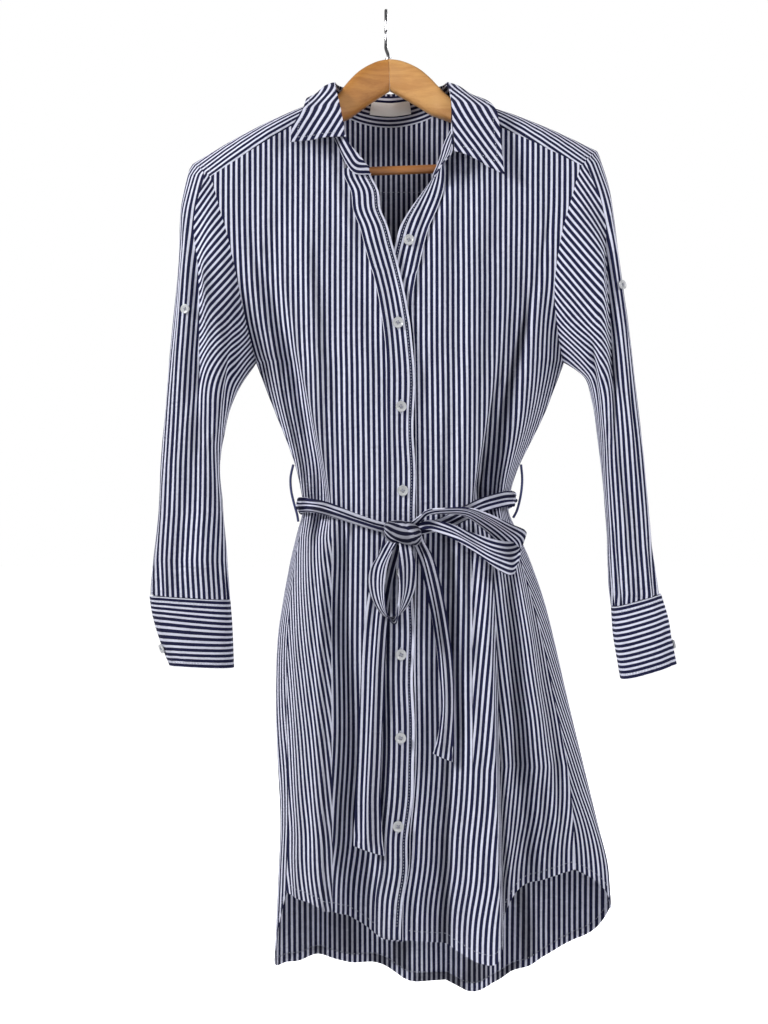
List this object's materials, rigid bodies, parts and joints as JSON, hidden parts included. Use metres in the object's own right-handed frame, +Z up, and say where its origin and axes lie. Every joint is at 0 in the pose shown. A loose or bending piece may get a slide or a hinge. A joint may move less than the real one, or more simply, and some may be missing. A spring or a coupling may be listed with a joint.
{
  "type": "shirt dress on a hanger",
  "caption": "Long-sleeved striped shirt dress with collar, button front, shirt-tail hem and tied cloth belt, hanging on a contoured wooden hanger",
  "frame": {"origin": "inside top of the hanger's hook, where a rail carries it", "axes": "+X to the viewer's right (the wearer's left), +Y away from the viewer towards the back of the dress, +Z up"},
  "size_m": [0.5734, 0.1486, 1.0929],
  "materials": {
    "striped_cotton": "plain-weave cotton poplin with woven lengthwise navy and white stripes, each about 2.9 mm wide, matt with a faint sheen",
    "hanger_wood": "clear-lacquered light wood with fine lengthwise grain",
    "hook_steel": "bright plated steel wire",
    "button_pearl": "pearly off-white four-hole shirt buttons",
    "label_satin": "blank woven white satin label",
    "keeper_thread": "crocheted dark sewing thread"
  },
  "bodies": {
    "root": {"hanger_arm_left": "hanger_wood", "hanger_arm_right": "hanger_wood", "hanger_bar": "hanger_wood", "hanger_hook": "hook_steel", "front_upper": "striped_cotton", "button_band_upper": "striped_cotton", "front_lower": "striped_cotton", "button_band_lower": "striped_cotton", "back": "striped_cotton", "yoke": "striped_cotton", "collar_stand": "striped_cotton", "collar_leaf": "striped_cotton", "neck_label": "label_satin", "sleeve_left": "striped_cotton", "cuff_left": "striped_cotton", "sleeve_right": "striped_cotton", "cuff_right": "striped_cotton", "belt_knot": "striped_cotton", "belt_left": "striped_cotton", "belt_right": "striped_cotton", "belt_loop_right": "striped_cotton", "belt_loop_left": "striped_cotton", "belt_tail_left": "striped_cotton", "belt_tail_right": "striped_cotton", "belt_back": "striped_cotton", "keeper_left": "keeper_thread", "keeper_right": "keeper_thread", "button_cuff_left": "button_pearl", "button_cuff_right": "button_pearl", "button_tab_left": "button_pearl", "button_tab_right": "button_pearl", "button_front_1": "button_pearl", "button_front_2": "button_pearl", "button_front_3": "button_pearl", "button_front_4": "button_pearl", "button_front_5": "button_pearl", "button_front_6": "button_pearl", "button_front_7": "button_pearl", "button_front_8": "button_pearl"}
  },
  "joints": []
}
